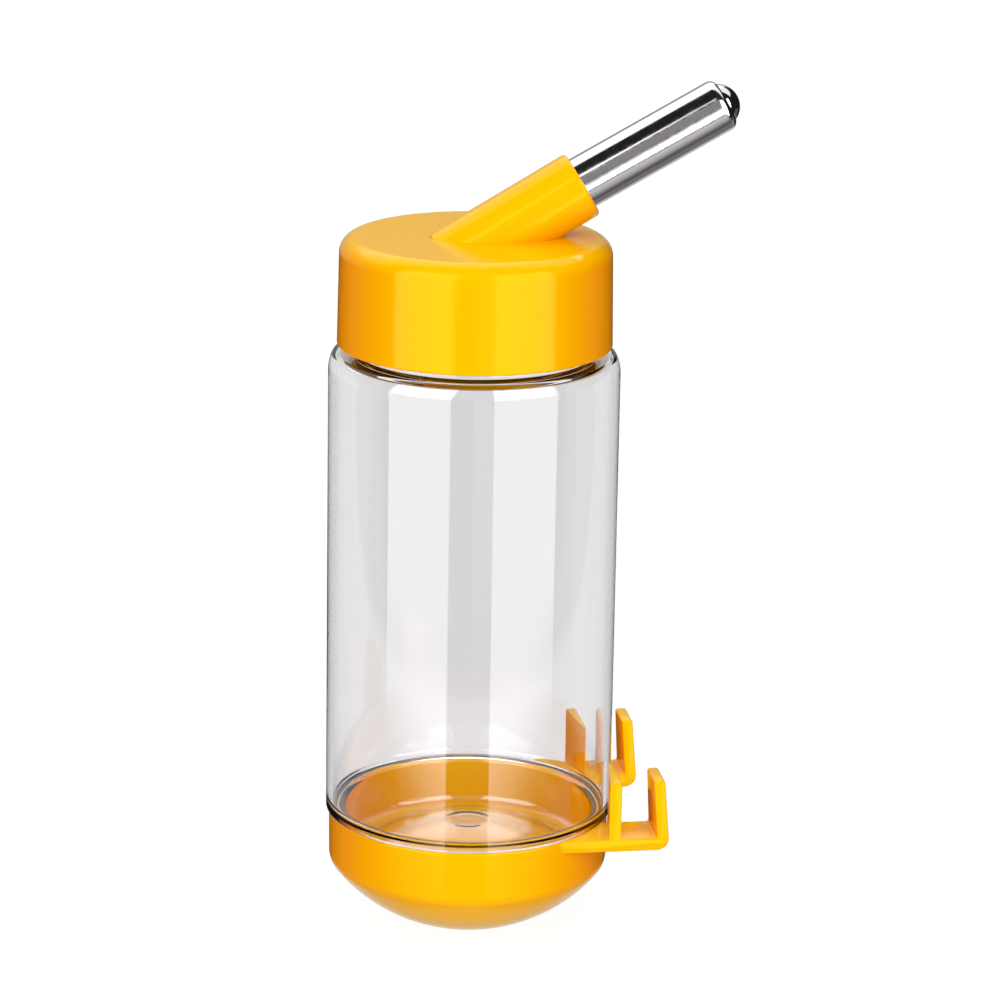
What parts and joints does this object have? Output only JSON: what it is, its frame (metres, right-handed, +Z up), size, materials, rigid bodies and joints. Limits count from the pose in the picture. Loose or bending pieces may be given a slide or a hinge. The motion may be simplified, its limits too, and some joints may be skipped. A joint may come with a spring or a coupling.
{
  "type": "rabbit water bottle",
  "caption": "Clear hanging water bottle with a screw cap, an angled steel drinking tube with a sprung ball valve, and a push-on holder cup with wire hooks.",
  "frame": {"origin": "centre of the holder cup's flat base, on the bottle's axis", "axes": "+Z up along the bottle's axis from the holder to the cap, +X towards the hooks and the drinking tube, +Y completes the right-handed frame"},
  "size_m": [0.0907, 0.065, 0.1924],
  "materials": {
    "holder_plastic": "glossy moulded yellow",
    "cap_plastic": "glossy moulded yellow",
    "clear_plastic": "clear, polished",
    "rubber": "matt",
    "steel": "polished stainless steel",
    "spring_wire": "drawn wire",
    "white_plastic": "moulded"
  },
  "bodies": {
    "holder_body": {"holder_cup": "holder_plastic"},
    "bottle_body": {"bottle": "clear_plastic"},
    "gasket_body": {"cap_gasket": "rubber"},
    "cap_body": {"cap": "cap_plastic", "tube_seal": "rubber", "drinking_tube": "steel", "spring_seat": "white_plastic", "ball_spring": "spring_wire"},
    "ball_body": {"tip_ball": "steel"}
  },
  "joints": [
    {"name": "bottle_pull", "type": "slide", "parent": "holder_body", "child": "bottle_body", "axis": [0, 0, 1], "range_m": [0, 0.03]},
    {"name": "cap_lift", "type": "slide", "parent": "bottle_body", "child": "gasket_body", "axis": [0, 0, 1], "range_m": [0, 0.0241]},
    {"name": "cap_turn", "type": "hinge", "parent": "gasket_body", "child": "cap_body", "pos_m": [0, 0, 0.1466], "axis": [0, 0, 1], "range_deg": [0, 2160]},
    {"name": "ball_press", "type": "slide", "parent": "cap_body", "child": "ball_body", "axis": [-0.8729, 0, -0.4879], "range_m": [0, 0.0025], "stiffness_N_per_m": 60, "springref_m": -0.006, "deforming": ["ball_spring"]}
  ],
  "couplings": [
    {"joint": "cap_lift", "follows": "cap_turn", "m_per_rad": 0.00063662}
  ]
}
